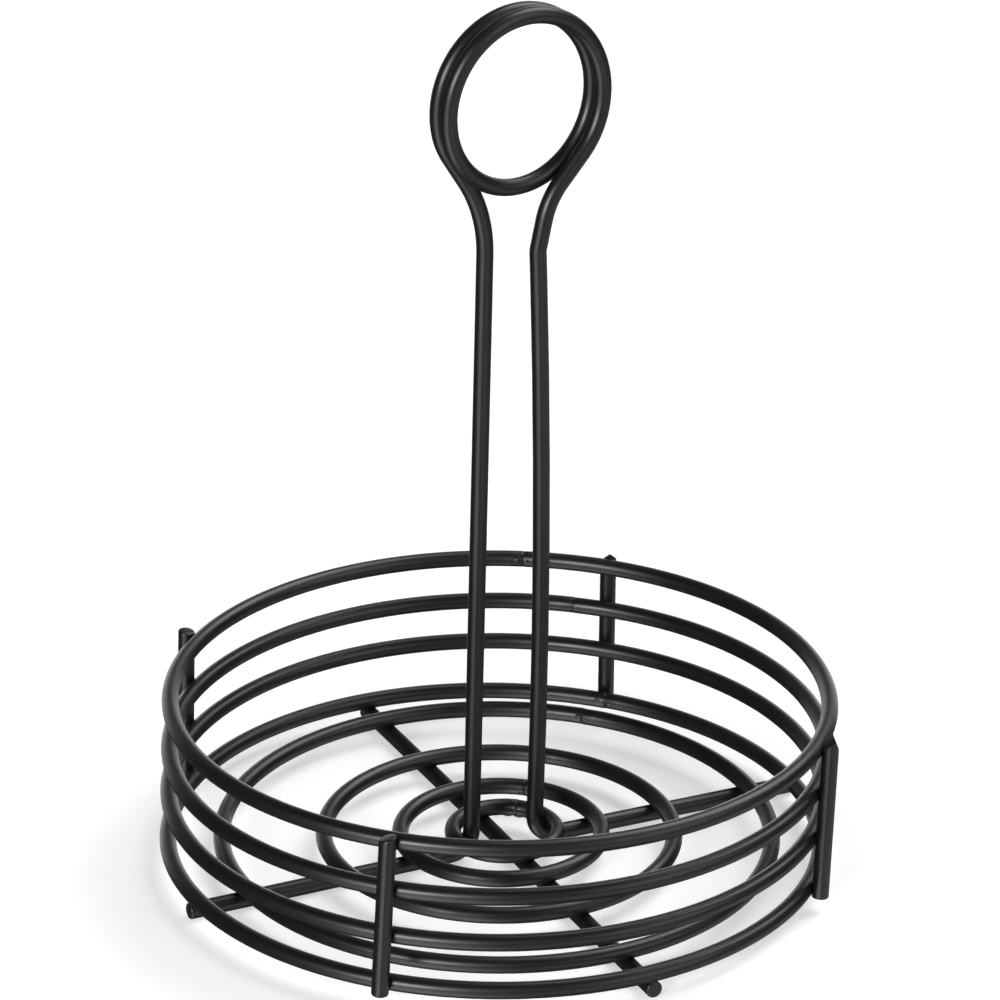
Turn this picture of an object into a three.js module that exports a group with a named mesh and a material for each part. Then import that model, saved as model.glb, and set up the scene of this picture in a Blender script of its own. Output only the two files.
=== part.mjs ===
// Round wire condiment caddy for a dining table, in millimetres, +Z up, standing on Z = 0.
// Four hoops welded to the inside of four upright posts make the low basket. Concentric rings lying on
// crossed runners make its floor. One long wire makes the handle: each of its ends is a floor runner that
// turns up inside the centre ring, and between the two legs the wire is wound into a finger loop.
// X runs along the handle's runners, Y along the cross bar, and Z is the axis of the hoops.
import * as THREE from "three";

// Wire.
const WIRE = 4.5; // diameter of every wire
const WELD_GAP = 0.3; // air kept between two wires that are welded together
const END_CHAMFER = 0.5; // broken edge round a cut end

// Basket side.
const HOOP_RADIUS = 93; // centre line of the four hoops
const LOWER_PITCH = 15.5; // bottom hoop to lower hoop, centre to centre
const MIDDLE_PITCH = 13.5; // lower hoop to upper hoop
const UPPER_PITCH = 14.1; // upper hoop to top hoop
const POST_RISE = 2.5; // post above the centre of the top hoop
const POST_DROP = 2; // post below the centre of the bottom hoop
const POST_ANGLES = {
  // degrees round from X, as the posts were set by hand near the four quarters
  back_right_post: 45,
  back_left_post: 133,
  front_left_post: 226,
  front_right_post: 316,
};

// Floor.
const OUTER_RING_INSET = 14.5; // from the side hoops in to the outer floor ring
const WIDE_RING_STEP = 21.3; // from the narrow floor ring out to the wide one
const NARROW_RING_STEP = 13.9; // from the centre ring out to the narrow floor ring
const RUNNER_OVERHANG = 1.5; // runner ends beyond the centre line of the hoops
const BAR_OFFSET = 1; // cross bar from the middle of the handle's feet

// Handle.
const HANDLE_HEIGHT = 254; // table to the top of the finger loop
const HANDLE_SHIFT = 1.9; // middle of the handle's feet from the axis of the hoops
const LEG_SPACING = 20; // between the legs at their feet, centre to centre
const LEG_BOW = 1.5; // how far the right leg bows outwards at its middle
const LOOP_RADIUS = 24.5; // centre line of the finger loop
const LOOP_GAP = 0.6; // air between neighbouring strands of the loop
const LOOP_SHIFT = 5.8; // loop centre from the axis of the hoops, along the plane of the loop
const LOOP_TWIST = 10; // degrees from the runners to the plane of the loop
const LOOP_PASSES = 2; // strands that pass over the top of the loop
const LEFT_NECK_SIDE = 8.5; // bend at the top of the left leg, to the left of the loop centre
const LEFT_NECK_BELOW = 7.5; // the same bend below the lowest centre line of the loop
const LEFT_NECK_BEND = 35; // its bend radius
const RIGHT_NECK_SIDE = 6.3; // bend under the right of the loop, to the right of the loop centre
const RIGHT_NECK_BELOW = 4.2;
const RIGHT_NECK_BEND = 22;
const KINK_SIDE = 3.2; // sharp second bend at the top of the right leg, to the right of the loop centre
const KINK_BELOW = 18.5;
const KINK_BEND = 4;

// Fineness of the solids.
const WIRE_SIDES = 12; // flats round a wire
const RING_FACET = 12; // length of one straight stretch of a hoop or ring
const FEWEST_RING_STEPS = 24;
const BEND_STEPS = 6; // steps in a bend
const BOW_STEPS = 8; // steps along the bowed leg
const LOOP_STEPS = 28; // steps in one turn of the loop

// Sizes that follow from the ones above.
const WIRE_RADIUS = WIRE / 2;
const CORNER_RADIUS = WIRE_RADIUS / Math.cos(Math.PI / WIRE_SIDES); // puts a wire's flats on its true round
const CONTACT = WIRE + WELD_GAP; // centre distance of two wires that are welded together
const RUNNER_HEIGHT = WIRE_RADIUS;
const FLOOR_HEIGHT = RUNNER_HEIGHT + CONTACT;
const RUNNER_REACH = HOOP_RADIUS + RUNNER_OVERHANG;
const CENTRE_RING_RADIUS = LEG_SPACING / 2 + CONTACT;
const NARROW_RING_RADIUS = CENTRE_RING_RADIUS + NARROW_RING_STEP;
const WIDE_RING_RADIUS = NARROW_RING_RADIUS + WIDE_RING_STEP;
const OUTER_RING_RADIUS = HOOP_RADIUS - OUTER_RING_INSET;
const FOOT_BEND = CONTACT; // each foot turns round the centre ring that it is welded to
const LOOP_CENTRE_HEIGHT = HANDLE_HEIGHT - WIRE_RADIUS - LOOP_RADIUS;

const HOOP_HEIGHTS = {
  bottom_hoop: FLOOR_HEIGHT,
  lower_hoop: FLOOR_HEIGHT + LOWER_PITCH,
  upper_hoop: FLOOR_HEIGHT + LOWER_PITCH + MIDDLE_PITCH,
  top_hoop: FLOOR_HEIGHT + LOWER_PITCH + MIDDLE_PITCH + UPPER_PITCH,
};

const FLOOR_RINGS = {
  outer_floor_ring: OUTER_RING_RADIUS,
  wide_floor_ring: WIDE_RING_RADIUS,
  narrow_floor_ring: NARROW_RING_RADIUS,
  centre_floor_ring: CENTRE_RING_RADIUS,
};

const caddy = new THREE.Group();

// Every piece is coated in the same satin black.
function addPiece(name, geometry) {
  const coat = new THREE.MeshStandardMaterial({ color: 0x2a2a2a, roughness: 0.45, metalness: 0 });
  const piece = new THREE.Mesh(geometry, coat);
  piece.name = name;
  caddy.add(piece);
  return piece;
}

// Corners of the wire's section, which has a flat facing each way along both of its axes.
function sectionCorners() {
  return Array.from({ length: WIRE_SIDES }, (_, i) => {
    const angle = ((i + 0.5) * 2 * Math.PI) / WIRE_SIDES;
    return new THREE.Vector2(Math.cos(angle), Math.sin(angle)).multiplyScalar(CORNER_RADIUS);
  });
}

// A closed ring of wire lying flat round Z.
function ringGeometry(radius) {
  const quarterSteps = Math.round((Math.PI * radius) / 2 / RING_FACET);
  const profile = sectionCorners().map((corner) => corner.add(new THREE.Vector2(radius, 0)));
  profile.push(profile[0].clone());
  const ring = new THREE.LatheGeometry(profile, Math.max(FEWEST_RING_STEPS, 4 * quarterSteps));
  return ring.rotateX(Math.PI / 2);
}

// A straight cut length of wire along Y, centred on the origin, with a chamfer round each end.
function cutWireGeometry(length) {
  const end = length / 2;
  const profile = [
    new THREE.Vector2(0, -end),
    new THREE.Vector2(CORNER_RADIUS - END_CHAMFER, -end),
    new THREE.Vector2(CORNER_RADIUS, END_CHAMFER - end),
    new THREE.Vector2(CORNER_RADIUS, end - END_CHAMFER),
    new THREE.Vector2(CORNER_RADIUS - END_CHAMFER, end),
    new THREE.Vector2(0, end),
  ];
  return new THREE.LatheGeometry(profile, WIRE_SIDES).rotateY(Math.PI / WIRE_SIDES);
}

// The run of a bent wire through its stations, with one step of the tube from each station to the next.
class WireRun extends THREE.Curve {
  constructor(stations) {
    super();
    this.stations = stations;
  }

  getPoint(t, target = new THREE.Vector3()) {
    const place = t * (this.stations.length - 1);
    const before = Math.min(Math.floor(place), this.stations.length - 2);
    return target.lerpVectors(this.stations[before], this.stations[before + 1], place - before);
  }

  getPointAt(u, target) {
    return this.getPoint(u, target);
  }

  getTangentAt(u, target = new THREE.Vector3()) {
    const last = this.stations.length - 1;
    const here = Math.round(u * last);
    const point = this.stations[here];
    const arriving = point.clone().sub(this.stations[Math.max(here - 1, 0)]).normalize();
    const leaving = this.stations[Math.min(here + 1, last)].clone().sub(point).normalize();
    return target.addVectors(arriving, leaving).normalize();
  }

  // The section is eased round along the run, so that it ends as it starts, with a flat facing down.
  computeFrenetFrames(steps) {
    const frames = super.computeFrenetFrames(steps, false);
    const up = new THREE.Vector3(0, 0, 1);
    const { normals, binormals, tangents } = frames;
    const flat = (2 * Math.PI) / WIRE_SIDES;
    const lean = Math.atan2(up.dot(binormals[steps]), up.dot(normals[steps]));
    const ease = lean - flat * Math.round(lean / flat);
    for (let i = 0; i <= steps; i++) {
      normals[i].applyAxisAngle(tangents[i], (ease * i) / steps);
      binormals[i].crossVectors(tangents[i], normals[i]);
    }
    return frames;
  }
}

// Stations along a wire that is bent at its corners. Each corner is [point, bend radius], and a radius
// of 0 keeps the point itself.
function bentStations(corners) {
  return corners.flatMap(([corner, radius], i) => {
    if (radius === 0) return [corner];
    const back = corners[i - 1][0].clone().sub(corner).normalize();
    const ahead = corners[i + 1][0].clone().sub(corner).normalize();
    const half = back.angleTo(ahead) / 2;
    const inward = back.clone().add(ahead).normalize();
    const centre = corner.clone().addScaledVector(inward, radius / Math.sin(half));
    const axis = new THREE.Vector3().crossVectors(ahead, back).normalize();
    const spoke = corner.clone().addScaledVector(back, radius / Math.tan(half)).sub(centre);
    const sweep = Math.PI - 2 * half;
    return Array.from({ length: BEND_STEPS + 1 }, (_, step) =>
      spoke.clone().applyAxisAngle(axis, (sweep * step) / BEND_STEPS).add(centre),
    );
  });
}

const twist = THREE.MathUtils.degToRad(LOOP_TWIST);
const acrossLoop = new THREE.Vector3(Math.cos(twist), Math.sin(twist), 0);
const loopAxis = new THREE.Vector3(Math.sin(twist), -Math.cos(twist), 0);

// A place on the handle: side and rise from the loop centre, and depth along the axis of the loop.
function atLoop(side, rise, depth) {
  const place = new THREE.Vector3(0, 0, LOOP_CENTRE_HEIGHT + rise);
  return place.addScaledVector(acrossLoop, LOOP_SHIFT + side).addScaledVector(loopAxis, depth);
}

// Angle at which a straight from a neck bend runs into the loop, turned to the left or to the right.
function touchAngle(side, rise, turn) {
  const spread = Math.acos(LOOP_RADIUS / Math.hypot(side, rise));
  return Math.atan2(rise, side) + turn * spread;
}

// The handle from the end of its left runner to the end of its right runner.
function handleStations() {
  const leftRise = -LOOP_RADIUS - LEFT_NECK_BELOW;
  const rightRise = -LOOP_RADIUS - RIGHT_NECK_BELOW;
  const kinkRise = -LOOP_RADIUS - KINK_BELOW;
  const start = touchAngle(-LEFT_NECK_SIDE, leftRise, -1);
  const finish = touchAngle(RIGHT_NECK_SIDE, rightRise, 1) - LOOP_PASSES * 2 * Math.PI;
  const turns = (start - finish) / (2 * Math.PI);
  const halfDepth = (turns * (WIRE + LOOP_GAP)) / 2;

  const loopSteps = Math.round(turns * LOOP_STEPS);
  const loop = Array.from({ length: loopSteps + 1 }, (_, i) => {
    const share = i / loopSteps;
    const angle = start + share * (finish - start);
    const depth = (2 * share - 1) * halfDepth;
    return atLoop(LOOP_RADIUS * Math.cos(angle), LOOP_RADIUS * Math.sin(angle), depth);
  });

  const leftFoot = new THREE.Vector3(HANDLE_SHIFT - LEG_SPACING / 2, 0, RUNNER_HEIGHT);
  const rightFoot = new THREE.Vector3(HANDLE_SHIFT + LEG_SPACING / 2, 0, RUNNER_HEIGHT);
  const kink = atLoop(KINK_SIDE, kinkRise, halfDepth);
  const bowed = Array.from({ length: BOW_STEPS - 1 }, (_, i) => {
    const share = (i + 1) / BOW_STEPS;
    const outward = new THREE.Vector3(LEG_BOW * 4 * share * (1 - share), 0, 0);
    return [new THREE.Vector3().lerpVectors(kink, rightFoot, share).add(outward), 0];
  });

  const left = bentStations([
    [new THREE.Vector3(-RUNNER_REACH, 0, RUNNER_HEIGHT), 0],
    [leftFoot, FOOT_BEND],
    [atLoop(-LEFT_NECK_SIDE, leftRise, -halfDepth), LEFT_NECK_BEND],
    [loop[0], 0],
  ]);
  const right = bentStations([
    [loop[loopSteps], 0],
    [atLoop(RIGHT_NECK_SIDE, rightRise, halfDepth), RIGHT_NECK_BEND],
    [kink, KINK_BEND],
    ...bowed,
    [rightFoot, FOOT_BEND],
    [new THREE.Vector3(RUNNER_REACH, 0, RUNNER_HEIGHT), 0],
  ]);
  return [...left, ...loop.slice(1, -1), ...right];
}

// Least air between stretches of a run that lie about half a turn of the loop or more apart along it,
// measured on points a quarter of a wire apart.
function leastGap(stations) {
  const spacing = WIRE / 4;
  const points = stations.slice(1).flatMap((station, i) => {
    const count = Math.ceil(station.distanceTo(stations[i]) / spacing);
    return Array.from({ length: count }, (_, k) => stations[i].clone().lerp(station, k / count));
  });
  const apart = Math.ceil((Math.PI * LOOP_RADIUS) / spacing);
  let least = Infinity;
  for (let i = 0; i < points.length; i++) {
    for (let j = i + apart; j < points.length; j++) {
      least = Math.min(least, points[i].distanceTo(points[j]));
    }
  }
  return least - WIRE;
}

for (const [name, height] of Object.entries(HOOP_HEIGHTS)) {
  addPiece(name, ringGeometry(HOOP_RADIUS)).position.z = height;
}

for (const [name, radius] of Object.entries(FLOOR_RINGS)) {
  addPiece(name, ringGeometry(radius)).position.z = FLOOR_HEIGHT;
}
caddy.getObjectByName("centre_floor_ring").position.x = HANDLE_SHIFT;

// The posts stand outside the hoops, from just below the bottom hoop to just above the top one.
const postFoot = HOOP_HEIGHTS.bottom_hoop - POST_DROP;
const postTop = HOOP_HEIGHTS.top_hoop + POST_RISE;
for (const [name, degrees] of Object.entries(POST_ANGLES)) {
  const angle = THREE.MathUtils.degToRad(degrees);
  const post = addPiece(name, cutWireGeometry(postTop - postFoot).rotateX(Math.PI / 2));
  post.position.set(Math.cos(angle), Math.sin(angle), 0).multiplyScalar(HOOP_RADIUS + CONTACT);
  post.position.z = (postFoot + postTop) / 2;
  post.rotation.z = angle;
}

const crossBar = addPiece("cross_bar", cutWireGeometry(2 * RUNNER_REACH));
crossBar.position.set(HANDLE_SHIFT + BAR_OFFSET, 0, RUNNER_HEIGHT);

const handleRun = new WireRun(handleStations());
addPiece(
  "handle",
  new THREE.ExtrudeGeometry(new THREE.Shape(sectionCorners()), {
    steps: handleRun.stations.length - 1,
    extrudePath: handleRun,
  }),
);
console.log(`handle: least gap to itself ${leastGap(handleRun.stations).toFixed(2)} mm`);

export default caddy;
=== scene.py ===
"""Round condiment caddy of satin black wire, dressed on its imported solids, in a plain white studio.

Every wire is a length of the same round stock, shaped as a wire bender shapes it: fed straight, bent round
a former, wound into the finger loop, cut off and welded. Lengths are in metres, in the frame of the solids.
"""

from math import acos, atan2, cos, hypot, pi, radians, sin, tan

import bmesh
import bpy
from mathutils import Matrix, Quaternion, Vector


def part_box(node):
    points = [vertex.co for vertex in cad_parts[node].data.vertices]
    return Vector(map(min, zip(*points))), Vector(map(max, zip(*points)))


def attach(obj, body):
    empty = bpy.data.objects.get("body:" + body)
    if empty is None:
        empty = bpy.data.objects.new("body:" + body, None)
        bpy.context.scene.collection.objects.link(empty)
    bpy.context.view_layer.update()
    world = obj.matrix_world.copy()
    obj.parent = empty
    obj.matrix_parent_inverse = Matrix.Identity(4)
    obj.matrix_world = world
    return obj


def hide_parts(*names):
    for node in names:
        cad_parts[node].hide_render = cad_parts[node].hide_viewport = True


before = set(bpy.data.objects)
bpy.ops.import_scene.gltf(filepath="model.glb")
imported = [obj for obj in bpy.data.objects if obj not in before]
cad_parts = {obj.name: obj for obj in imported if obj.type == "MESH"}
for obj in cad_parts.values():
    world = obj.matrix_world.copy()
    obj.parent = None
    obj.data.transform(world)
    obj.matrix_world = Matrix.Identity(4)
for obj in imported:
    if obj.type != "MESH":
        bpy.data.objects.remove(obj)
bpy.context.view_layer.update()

MM = 0.001
BODY = "root"
UP = Vector((0, 0, 1))

# Wire: the bare steel is as thick as the solid of the cross bar, and the coat adds to it all round.
bar_low, bar_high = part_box("cross_bar")
STEEL = bar_high.z - bar_low.z
COAT_THICKNESS = 0.15 * MM
WIRE = STEEL + 2 * COAT_THICKNESS
WIRE_SIDES = 40
BEND_STEP = radians(2.5)  # one step round a bend
FEWEST_BEND_STEPS = 6
BOW_SHARE = 0.9  # share of a bowed length that is bent, with straight ends beyond it
EDGE_ROUNDING = 0.6 * MM  # edge of a cut end, softened by the coating
EDGE_SEGMENTS = 4
SHARP = radians(24)  # an edge that turns more than this is rounded
MERGE = 0.001 * MM

# Welds. The wires of the solids stand a little apart, and here they sink into each other.
SETTLE = 0.4 * MM  # how far hoops, rings and handle come down onto the runners
POST_SINK = 0.3 * MM  # how deep the posts are pressed into the hoops
BEAD_SPREAD = 1.4 * MM
BEAD_THICKNESS = 0.65 * MM
BEAD_SUBDIVISIONS = 3
SEAM_GAP = 0.12 * MM  # between the two ends of a hoop's wire
SEAM_ROUNDING = 0.2 * MM  # edges of those ends

# Hoops and rings as made: how far the centre is off in X and Y, how much the +X side and the +Y side stand
# up, where the wire was closed, in degrees round from X, and how far its two ends are out of line.
HOOPS = {
    "bottom_hoop": ((-1.0 * MM, 0), (-0.6 * MM, -0.3 * MM), 43.5, -0.12 * MM),
    "lower_hoop": ((-0.5 * MM, -0.1 * MM), (0.3 * MM, 0.3 * MM), 56.1, 0.08 * MM),
    "upper_hoop": ((0, 0), (0.3 * MM, 0), 50.5, 0.1 * MM),
    "top_hoop": ((0.5 * MM, 0), (-0.3 * MM, 0), 60.4, 0.05 * MM),
    "outer_floor_ring": ((-0.1 * MM, 0.2 * MM), (0, 0), 45.5, 0.1 * MM),
    "wide_floor_ring": ((0.4 * MM, -0.3 * MM), (0, 0), 48.5, 0.1 * MM),
    "narrow_floor_ring": ((0.8 * MM, -0.6 * MM), (0, 0), 50.0, -0.1 * MM),
    "centre_floor_ring": ((0.1 * MM, -0.6 * MM), (0, 0), 50.0, 0.1 * MM),
}

# Posts as made: degrees round from X at the bottom and top hoop, how much longer than the solid at the
# bottom and top, how far the peak of the cut top is off the axis in X and Y, and the slants of that cut,
# each as degrees off square and degrees round from X.
POSTS = {
    "back_right_post": (44.5, 45.3, -0.6 * MM, -0.4 * MM, (0.4 * MM, -0.2 * MM), [(40, 125), (40, 5)]),
    "back_left_post": (132.6, 133.2, 0.3 * MM, 0.2 * MM, (0, 0), [(6, 330)]),
    "front_left_post": (226.3, 226.7, -0.6 * MM, 0.5 * MM, (0, 0), [(18, 150)]),
    "front_right_post": (314.8, 314.8, 0.3 * MM, 1.0 * MM, (0.9 * MM, -0.4 * MM), [(38, 175), (68, 340)]),
}
CUT_OVERRUN = 3 * MM  # spare wire above the peak, which the slanted cuts take off

# Cross bar as made: X at its back end, middle and front end.
BAR_BACK_X = 1.2 * MM
BAR_MIDDLE_X = 2.6 * MM
BAR_FRONT_X = 2.7 * MM

# Handle as made.
handle_low, handle_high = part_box("handle")
LEFT_FOOT_X = -8.3 * MM
RIGHT_FOOT_X = 11.6 * MM
FOOT_BEND = 6.6 * MM  # radius at the middle of the wire, as for the other bends
LEFT_END_MORE = 0.9 * MM  # how much longer the left runner is than the solid
LEFT_END_SKEW = -0.4 * MM  # how far the ends of the runners are off the X axis
RIGHT_END_SKEW = -1.4 * MM
LEG_BOW = 1.5 * MM  # how far the right leg bows outwards at its middle
LOOP_RADIUS = 24.5 * MM
LOOP_PITCH = STEEL + 0.5 * MM
LOOP_SHIFT = 5.8 * MM  # loop centre from the axis of the hoops, along the plane of the loop
LOOP_FORWARD = 0.3 * MM
LOOP_TWIST = radians(9.7)  # plane of the loop, turned from the runners
LOOP_PASSES = 2  # strands over the top of the loop
LEFT_NECK = (-8.4 * MM, -7.4 * MM)  # aside from the middle of the loop, and up from its lowest place
LEFT_NECK_BEND = 39 * MM
RIGHT_NECK = (6.2 * MM, -4.2 * MM)
RIGHT_NECK_BEND = 21 * MM
KINK = (3.0 * MM, -18.1 * MM)
KINK_BEND = 4.4 * MM

# What lies on the table: the ends and feet of the handle's runners, then the ends and middle of the bar.
ON_TABLE = WIRE / 2
left_end = Vector((handle_low.x - LEFT_END_MORE, LEFT_END_SKEW, ON_TABLE))
left_foot = Vector((LEFT_FOOT_X, 0, ON_TABLE))
right_foot = Vector((RIGHT_FOOT_X, 0, ON_TABLE))
right_end = Vector((handle_high.x, RIGHT_END_SKEW, ON_TABLE))
bar_front = Vector((BAR_FRONT_X, bar_low.y, ON_TABLE))
bar_middle = Vector((BAR_MIDDLE_X, 0, ON_TABLE))
bar_back = Vector((BAR_BACK_X, bar_high.y, ON_TABLE))

# The runners under the floor rings, from the middle of the floor outwards.
RUNNERS = [(left_foot, left_end), (right_foot, right_end), (bar_middle, bar_front), (bar_middle, bar_back)]

# What the posts hold, and what lies on the runners.
SIDE_HOOPS = ("bottom_hoop", "lower_hoop", "upper_hoop", "top_hoop")
FLOOR_RINGS = (
    "bottom_hoop",
    "outer_floor_ring",
    "wide_floor_ring",
    "narrow_floor_ring",
    "centre_floor_ring",
)

# Seam welds: the core between the two ends, and lumps beside it. A lump is given by its place along the
# wire, degrees round the wire from its outer side over the top, and its size.
CORE_LENGTH = 1.3 * MM
CORE_RADIUS = 0.93 * WIRE / 2
LUMP_SEAT = 0.75 * WIRE / 2  # from the middle of the wire to the middle of a lump
LUMP_STRETCH = 1.8  # how much longer a lump is than it is thick
LUMPS = {
    "top_hoop": [(1.7 * MM, 165, 0.9 * MM), (-1.1 * MM, 170, 0.75 * MM), (0.7 * MM, 120, 0.75 * MM)],
    "upper_hoop": [(-0.7 * MM, 175, 0.7 * MM)],
    "lower_hoop": [(0.5 * MM, 100, 0.65 * MM)],
    "bottom_hoop": [(2.2 * MM, 165, 0.8 * MM), (-1.4 * MM, 190, 0.85 * MM)],
    "outer_floor_ring": [(0.9 * MM, 160, 0.85 * MM), (-0.9 * MM, 190, 0.75 * MM)],
    "wide_floor_ring": [(0.6 * MM, 160, 0.7 * MM)],
    "narrow_floor_ring": [(0.8 * MM, 205, 0.9 * MM), (-1.0 * MM, 230, 0.85 * MM)],
    "centre_floor_ring": [
        (0.3 * MM, 180, 0.8 * MM),
        (2.8 * MM, 232, 1.05 * MM),
        (-0.6 * MM, 238, 1.0 * MM),
        (-3.4 * MM, 235, 0.95 * MM),
        (1.6 * MM, 110, 0.85 * MM),
    ],
}

# Camera, at the photograph's angle.
CAMERA_AZIMUTH = radians(-25.5)
CAMERA_ELEVATION = radians(24.04)
CAMERA_ROLL = radians(0.46)
CAMERA_DISTANCE = 1.46765
CAMERA_TARGET = Vector((0, 0, 0.110625 - SETTLE))
CAMERA_LENS = 190.3  # millimetres, and so is the sensor
CAMERA_SENSOR = 36

# Softboxes, far enough off to light every wire alike: degrees round from X, degrees above the table,
# degrees across, and how bright the face of the box is. The ones below the table stand for what the table
# and the room behind throw back.
SOFTBOXES = {
    "front_left_softbox": (215, 18, 20, 29.0),
    "right_overhead_softbox": (16, 53, 42, 4.9),
    "front_right_softbox": (302, 24, 45, 1.7),
    "back_right_fill": (52, -4, 40, 1.8),
    "back_fill": (85, -4, 42, 1.6),
    "left_table_glow": (214, -24, 42, 2.2),
    "low_table_glow": (213, -56, 38, 2.6),
    "front_table_glow": (284, -28, 48, 0.8),
    "right_table_glow": (345, -38, 50, 0.6),
}
ROOM_BRIGHTNESS = 0.08

# The table top and the backdrop round it, far enough off to stand behind the camera from any side.
TABLE_REACH = 8.0
TABLE_GLOW = 0.5
BACKDROP_HEIGHT = 8.0
BACKDROP_SIDES = 96
BACKDROP_GLOW = 1.0


def linear(hex_colour):
    """An sRGB hex colour as the linear colour that a shader takes."""
    shares = [int(hex_colour[i : i + 2], 16) / 255 for i in (1, 3, 5)]
    return [s / 12.92 if s <= 0.04045 else ((s + 0.055) / 1.055) ** 2.4 for s in shares] + [1.0]


def add(tree, kind, inputs=None, **settings):
    """Adds a node with its settings. An input is a plain value, or the socket that feeds it."""
    node = tree.nodes.new(kind)
    for name, value in settings.items():
        setattr(node, name, value)
    for name, value in (inputs or {}).items():
        if isinstance(value, bpy.types.NodeSocket):
            tree.links.new(value, node.inputs[name])
        else:
            node.inputs[name].default_value = value
    return node


def new_material(name):
    """An empty material with its output node, as (material, tree, output)."""
    material = bpy.data.materials.new(name)
    material.use_nodes = True
    material.node_tree.nodes.clear()
    return material, material.node_tree, add(material.node_tree, "ShaderNodeOutputMaterial")


def powder_coat():
    """Satin black polyester powder coat, baked on steel wire: near black, with soft broad highlights and
    the faint orange peel that the powder leaves as it flows out."""
    peel_size = 1.6 * MM
    blotch_size = 14 * MM
    material, tree, output = new_material("satin_black_powder_coat")
    place = add(tree, "ShaderNodeTexCoord").outputs["Object"]
    peel = add(
        tree, "ShaderNodeTexNoise", {"Vector": place, "Scale": 1 / peel_size, "Detail": 2.0}
    )
    blotch = add(
        tree, "ShaderNodeTexNoise", {"Vector": place, "Scale": 1 / blotch_size, "Detail": 3.0}
    )
    bump = add(
        tree, "ShaderNodeBump", {"Height": peel.outputs["Fac"], "Strength": 0.12, "Distance": 0.05 * MM}
    )
    tint = add(
        tree,
        "ShaderNodeMix",
        {"Factor": blotch.outputs["Fac"], "A": linear("#070707"), "B": linear("#0b0b0b")},
        data_type="RGBA",
    )
    gloss = add(
        tree,
        "ShaderNodeMapRange",
        {"Value": blotch.outputs["Fac"], "From Min": 0.3, "From Max": 0.7, "To Min": 0.36, "To Max": 0.41},
    )
    shader = add(
        tree,
        "ShaderNodeBsdfPrincipled",
        {
            "Base Color": tint.outputs["Result"],
            "Roughness": gloss.outputs["Result"],
            "IOR": 1.5,
            "Normal": bump.outputs["Normal"],
        },
    )
    tree.links.new(shader.outputs["BSDF"], output.inputs["Surface"])
    return material


def lit_white(name, glow):
    """Matte milk-white sheet lit from behind: it glows evenly, so that the shadows on it stay faint."""
    material, tree, output = new_material(name)
    shader = add(
        tree,
        "ShaderNodeBsdfPrincipled",
        {
            "Base Color": linear("#d4d4d4"),
            "Roughness": 0.9,
            "IOR": 1.3,
            "Emission Color": linear("#ffffff"),
            "Emission Strength": glow,
        },
    )
    tree.links.new(shader.outputs["BSDF"], output.inputs["Surface"])
    return material


COAT = powder_coat()


def only(kind, parts):
    """The vertices or the edges among what an operator made."""
    return [part for part in parts if isinstance(part, kind)]


def start_wire(bm, place, heading):
    """Starts a wire in an empty bmesh and returns its open rim, square to heading."""
    pose = Matrix.Translation(place) @ heading.to_track_quat("Z", "Y").to_matrix().to_4x4()
    bmesh.ops.create_circle(bm, radius=WIRE / 2, segments=WIRE_SIDES, matrix=pose)
    return bm.edges[:]


def feed(bm, rim, travel):
    """Feeds the wire straight on and returns its new rim."""
    made = bmesh.ops.extrude_edge_only(bm, edges=rim)["geom"]
    verts = only(bmesh.types.BMVert, made)
    bmesh.ops.translate(bm, verts=verts, vec=travel)
    return [edge for edge in only(bmesh.types.BMEdge, made) if set(edge.verts) <= set(verts)]


def bend(bm, rim, centre, axis, angle, climb=0.0):
    """Bends the wire round a former and returns its new rim. A winding climbs along the axis as it goes."""
    steps = max(FEWEST_BEND_STEPS, round(angle / BEND_STEP))
    verts = list(dict.fromkeys(vert for edge in rim for vert in edge.verts))
    spun = bmesh.ops.spin(
        bm, geom=rim + verts, cent=centre, axis=axis, dvec=axis * climb / steps, angle=angle, steps=steps
    )
    return only(bmesh.types.BMEdge, spun["geom_last"])


def bend_at(bm, rim, here, corner, beyond, radius):
    """Feeds the wire up to a corner and bends it towards what lies beyond, as (rim, place)."""
    heading = (corner - here).normalized()
    leaving = (beyond - corner).normalized()
    angle = heading.angle(leaving)
    set_back = radius * tan(angle / 2)
    axis = heading.cross(leaving).normalized()
    bend_start = corner - heading * set_back
    rim = feed(bm, rim, bend_start - here)
    rim = bend(bm, rim, bend_start + axis.cross(heading) * radius, axis, angle)
    return rim, corner + leaving * set_back


def bow_radius(start, corner, end):
    """Radius of the long bend that bows a wire gently between two places, past a corner midway."""
    half_length = (corner - start).length
    return BOW_SHARE * half_length / tan((corner - start).angle(end - corner) / 2)


def cut_slanted(bm, place, slant):
    """Cuts the wire off square to slant, through place, and closes the cut."""
    parts = bm.verts[:] + bm.edges[:] + bm.faces[:]
    cut = bmesh.ops.bisect_plane(bm, geom=parts, plane_co=place, plane_no=slant, clear_outer=True)
    bmesh.ops.edgeloop_fill(bm, edges=only(bmesh.types.BMEdge, cut["geom_cut"]))


def round_edges(bm, rounding=EDGE_ROUNDING):
    """Rounds the sharp edges of the cut ends."""
    bm.normal_update()
    sharp = [edge for edge in bm.edges if edge.calc_face_angle(0) > SHARP]
    bmesh.ops.bevel(
        bm,
        geom=sharp,
        offset=rounding,
        offset_type="OFFSET",
        segments=EDGE_SEGMENTS,
        profile=0.5,
        affect="EDGES",
        clamp_overlap=True,
        material=-1,
    )


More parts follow.
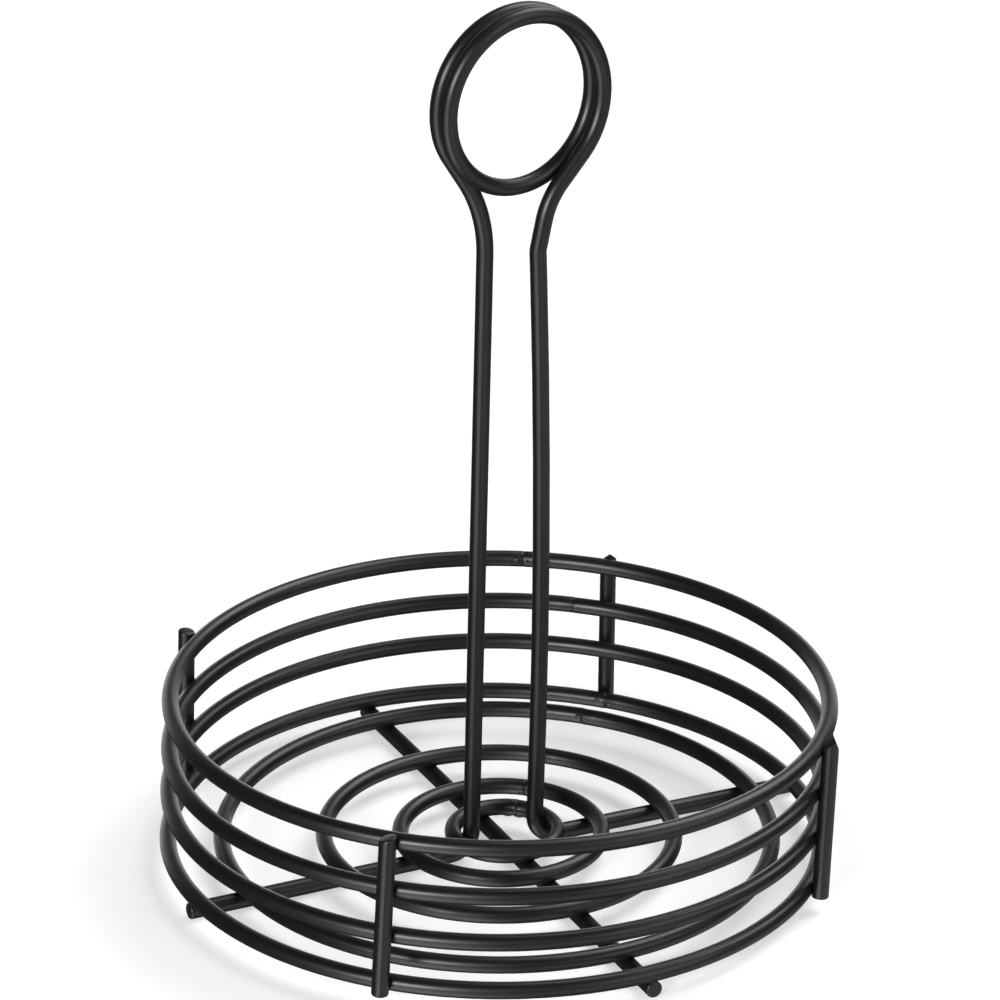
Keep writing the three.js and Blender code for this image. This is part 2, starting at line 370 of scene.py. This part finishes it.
def place_piece(name, bm, node=None):
    """Makes a bmesh a smooth coated piece of the caddy, in place of its solid where it has one."""
    bmesh.ops.remove_doubles(bm, verts=bm.verts, dist=MERGE)
    bmesh.ops.recalc_face_normals(bm, faces=bm.faces)
    for face in bm.faces:
        face.smooth = True
    mesh = bpy.data.meshes.new(name)
    bm.to_mesh(mesh)
    bm.free()
    mesh.materials.append(COAT)
    piece = bpy.data.objects.new(name, mesh)
    bpy.context.scene.collection.objects.link(piece)
    if node:
        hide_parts(node)
    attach(piece, BODY)


def hoop_shape(node):
    """Centre, centre-line radius and axis of a hoop or ring as made."""
    low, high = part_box(node)
    (off_x, off_y), (rise_x, rise_y), _, _ = HOOPS[node]
    radius = (high.x - low.x - STEEL) / 2
    centre = (low + high) / 2 + Vector((off_x, off_y, -SETTLE))
    return centre, radius, Vector((-rise_x, -rise_y, radius)).normalized()


def on_hoop(node, degrees):
    """Direction out from a hoop's centre, at degrees round from X, and that place on its centre line."""
    centre, radius, axis = hoop_shape(node)
    angle = radians(degrees)
    level = Vector((cos(angle), sin(angle), 0))
    out = (level - UP * (level.dot(axis) / axis.z)).normalized()
    return out, centre + out * radius


def closed_hoop(node):
    """A hoop or ring bent from one cut wire, whose two ends meet at its seam."""
    centre, radius, axis = hoop_shape(node)
    seam_degrees, seam_step = HOOPS[node][2:]
    gap = SEAM_GAP / radius
    out, place = on_hoop(node, seam_degrees)
    bm = bmesh.new()
    first = start_wire(bm, place + axis * seam_step / 2, axis.cross(out))
    last = bend(bm, first, centre, axis, 2 * pi - gap, climb=-seam_step)
    bmesh.ops.edgeloop_fill(bm, edges=first)
    bmesh.ops.edgeloop_fill(bm, edges=last)
    round_edges(bm, SEAM_ROUNDING)
    place_piece(node + "_wire", bm, node)


def on_post(node, height):
    """The place on a post's centre line at a height, and the direction that the post runs in."""
    bottom_degrees, top_degrees = POSTS[node][:2]
    out, at_bottom = on_hoop("bottom_hoop", bottom_degrees)
    at_bottom = at_bottom + out * (STEEL - POST_SINK)
    out, at_top = on_hoop("top_hoop", top_degrees)
    at_top = at_top + out * (STEEL - POST_SINK)
    run = at_top - at_bottom
    return at_bottom + run * (height - at_bottom.z) / run.z, run.normalized()


def post(node):
    """An upright post outside the hoops, sheared off at the top."""
    low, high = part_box(node)
    more_below, more_above, (peak_x, peak_y), slants = POSTS[node][2:]
    start, _ = on_post(node, low.z - SETTLE - more_below)
    end, heading = on_post(node, high.z - SETTLE + more_above)
    bm = bmesh.new()
    first = start_wire(bm, start, heading)
    last = feed(bm, first, end - start + heading * CUT_OVERRUN)
    bmesh.ops.edgeloop_fill(bm, edges=first)
    bmesh.ops.edgeloop_fill(bm, edges=last)
    peak = end + Vector((peak_x, peak_y, 0))
    for tilt, direction in slants:
        aside = Vector((cos(radians(direction)), sin(radians(direction)), 0))
        cut_slanted(bm, peak, heading * cos(radians(tilt)) + aside * sin(radians(tilt)))
    round_edges(bm)
    place_piece(node + "_wire", bm, node)


def cross_bar():
    """The separate floor runner, lying on the table under the rings, with its slight bow."""
    bow_bend = bow_radius(bar_front, bar_middle, bar_back)
    bm = bmesh.new()
    first = start_wire(bm, bar_front, (bar_middle - bar_front).normalized())
    rim, here = bend_at(bm, first, bar_front, bar_middle, bar_back, bow_bend)
    last = feed(bm, rim, bar_back - here)
    bmesh.ops.edgeloop_fill(bm, edges=first)
    bmesh.ops.edgeloop_fill(bm, edges=last)
    round_edges(bm)
    place_piece("cross_bar_wire", bm, "cross_bar")


def handle():
    """The handle wire: in along the left runner, up the left leg, round the loop, down and out again."""
    across = Vector((cos(LOOP_TWIST), sin(LOOP_TWIST), 0))
    to_front = Vector((sin(LOOP_TWIST), -cos(LOOP_TWIST), 0))
    loop_height = handle_high.z - SETTLE - STEEL / 2 - LOOP_RADIUS
    loop_centre = across * LOOP_SHIFT + Vector((0, -LOOP_FORWARD, loop_height))

    def touch_angle(neck, turn):
        """Angle round the loop where the straight wire from a neck touches it."""
        side, rise = neck[0], neck[1] - LOOP_RADIUS
        return atan2(rise, side) + turn * acos(LOOP_RADIUS / hypot(side, rise))

    start_angle = touch_angle(LEFT_NECK, -1)
    end_angle = touch_angle(RIGHT_NECK, 1) - LOOP_PASSES * 2 * pi
    winding = start_angle - end_angle
    half_depth = winding / (2 * pi) * LOOP_PITCH / 2

    def at_loop(side, rise, depth):
        return loop_centre + across * side + UP * rise + to_front * depth

    def neck_place(neck, depth):
        return at_loop(neck[0], neck[1] - LOOP_RADIUS, depth)

    def on_loop(angle, depth):
        return at_loop(LOOP_RADIUS * cos(angle), LOOP_RADIUS * sin(angle), depth)

    left_neck = neck_place(LEFT_NECK, -half_depth)
    loop_start = on_loop(start_angle, -half_depth)
    loop_end = on_loop(end_angle, half_depth)
    right_neck = neck_place(RIGHT_NECK, half_depth)
    kink = neck_place(KINK, half_depth)
    bow_corner = (kink + right_foot) / 2 + Vector((2 * LEG_BOW, 0, 0))
    bow_bend = bow_radius(kink, bow_corner, right_foot)

    bm = bmesh.new()
    first = start_wire(bm, left_end, (left_foot - left_end).normalized())
    rim, here = bend_at(bm, first, left_end, left_foot, left_neck, FOOT_BEND)
    rim, here = bend_at(bm, rim, here, left_neck, loop_start, LEFT_NECK_BEND)
    rim = feed(bm, rim, loop_start - here)
    rim = bend(bm, rim, loop_centre, -to_front, winding, climb=-2 * half_depth)
    rim, here = bend_at(bm, rim, loop_end, right_neck, kink, RIGHT_NECK_BEND)
    rim, here = bend_at(bm, rim, here, kink, bow_corner, KINK_BEND)
    rim, here = bend_at(bm, rim, here, bow_corner, right_foot, bow_bend)
    rim, here = bend_at(bm, rim, here, right_foot, right_end, FOOT_BEND)
    last = feed(bm, rim, right_end - here)
    bmesh.ops.edgeloop_fill(bm, edges=first)
    bmesh.ops.edgeloop_fill(bm, edges=last)
    round_edges(bm)
    place_piece("handle_wire", bm, "handle")


def bead(bm, place, axes, sizes):
    """A rounded bead of weld under the coating, with its half size along each of three axes."""
    pose = Matrix.Translation(place) @ Matrix(axes).transposed().to_4x4() @ Matrix.Diagonal((*sizes, 1))
    bmesh.ops.create_icosphere(bm, subdivisions=BEAD_SUBDIVISIONS, radius=1, matrix=pose)


def seam_welds():
    """The butt welds that close the hoops and rings: a core between the ends, and lumps of spilt metal."""
    bm = bmesh.new()
    for node, (_, _, seam_degrees, _) in HOOPS.items():
        axis = hoop_shape(node)[2]
        out, place = on_hoop(node, seam_degrees)
        along = axis.cross(out)
        bead(bm, place, (along, out, axis), (CORE_LENGTH, CORE_RADIUS, CORE_RADIUS))
        for shift, around, size in LUMPS[node]:
            aside = out * cos(radians(around)) + axis * sin(radians(around))
            middle = place + along * shift + aside * LUMP_SEAT
            bead(bm, middle, (along, out, axis), (LUMP_STRETCH * size, size, size))
    place_piece("seam_welds", bm)


def post_welds():
    """Beads where the posts are welded to the hoops."""
    bm = bmesh.new()
    for upright in POSTS:
        for hoop in SIDE_HOOPS:
            centre = hoop_shape(hoop)[0]
            place, heading = on_post(upright, centre.z)
            out = (place - centre).normalized()
            contact = place - out * (STEEL - POST_SINK) / 2
            axes = (heading.cross(out), out, heading)
            bead(bm, contact, axes, (BEAD_SPREAD, BEAD_THICKNESS, BEAD_SPREAD))
    place_piece("post_welds", bm)


def floor_welds():
    """Beads where the floor rings and the bottom hoop are welded on top of the runners."""
    bm = bmesh.new()
    for inner, outer in RUNNERS:
        along = (outer - inner).normalized()
        aside = UP.cross(along)
        for ring in FLOOR_RINGS:
            centre, radius, _ = hoop_shape(ring)
            to_centre = centre - inner
            off_line = aside.dot(to_centre)
            travel = along.dot(to_centre) + (radius**2 - off_line**2) ** 0.5
            contact = inner + along * travel
            ring_bottom = centre.z - WIRE / 2
            contact.z = (WIRE + ring_bottom) / 2
            bead(bm, contact, (along, aside, UP), (BEAD_SPREAD, BEAD_SPREAD, BEAD_THICKNESS))
    place_piece("floor_welds", bm)


def set_stage(name, bm, material):
    """Makes a bmesh a part of the stage. The wires don't mirror it, and the lamps shine through it."""
    mesh = bpy.data.meshes.new(name)
    bm.to_mesh(mesh)
    bm.free()
    mesh.materials.append(material)
    sheet = bpy.data.objects.new(name, mesh)
    sheet.visible_glossy = False
    sheet.visible_shadow = False
    bpy.context.scene.collection.objects.link(sheet)
    return sheet


def studio():
    """A lit white table under the caddy, a white backdrop all round, softboxes and a dim room."""
    bm = bmesh.new()
    bmesh.ops.create_grid(bm, x_segments=1, y_segments=1, size=TABLE_REACH)
    set_stage("table_top", bm, lit_white("lit_white_acrylic", TABLE_GLOW))

    bm = bmesh.new()
    bmesh.ops.create_cone(
        bm, segments=BACKDROP_SIDES, radius1=TABLE_REACH, radius2=TABLE_REACH, depth=BACKDROP_HEIGHT
    )
    backdrop = set_stage("backdrop", bm, lit_white("lit_white_paper", BACKDROP_GLOW))
    backdrop.visible_diffuse = False  # it lights nothing, so the room stays dim

    world = bpy.data.worlds.new("dim_room")
    bpy.context.scene.world = world
    world.use_nodes = True
    background = world.node_tree.nodes["Background"]
    background.inputs["Color"].default_value = linear("#ffffff")
    background.inputs["Strength"].default_value = ROOM_BRIGHTNESS

    for name, (azimuth, elevation, across, glow) in SOFTBOXES.items():
        light = bpy.data.lights.new(name, "SUN")
        light.angle = radians(across)
        light.energy = glow * 2 * pi * (1 - cos(radians(across / 2)))
        lamp = bpy.data.objects.new(name, light)
        turn, rise = radians(azimuth), radians(elevation)
        towards = Vector((cos(turn) * cos(rise), sin(turn) * cos(rise), sin(rise)))
        lamp.rotation_euler = towards.to_track_quat("Z", "Y").to_euler()
        bpy.context.scene.collection.objects.link(lamp)


def camera():
    """A long lens at the photograph's angle."""
    back = Vector((sin(CAMERA_AZIMUTH), -cos(CAMERA_AZIMUTH), tan(CAMERA_ELEVATION))).normalized()
    lens = bpy.data.cameras.new("camera")
    lens.lens = CAMERA_LENS
    lens.sensor_width = CAMERA_SENSOR
    view = bpy.data.objects.new("camera", lens)
    view.location = CAMERA_TARGET + back * CAMERA_DISTANCE
    turn = (-back).to_track_quat("-Z", "Y") @ Quaternion((0, 0, 1), CAMERA_ROLL)
    view.rotation_euler = turn.to_euler()
    bpy.context.scene.collection.objects.link(view)
    bpy.context.scene.camera = view


for hoop in HOOPS:
    closed_hoop(hoop)
for upright in POSTS:
    post(upright)
cross_bar()
handle()
seam_welds()
post_welds()
floor_welds()
studio()
camera()
bpy.context.scene.view_settings.view_transform = "Standard"
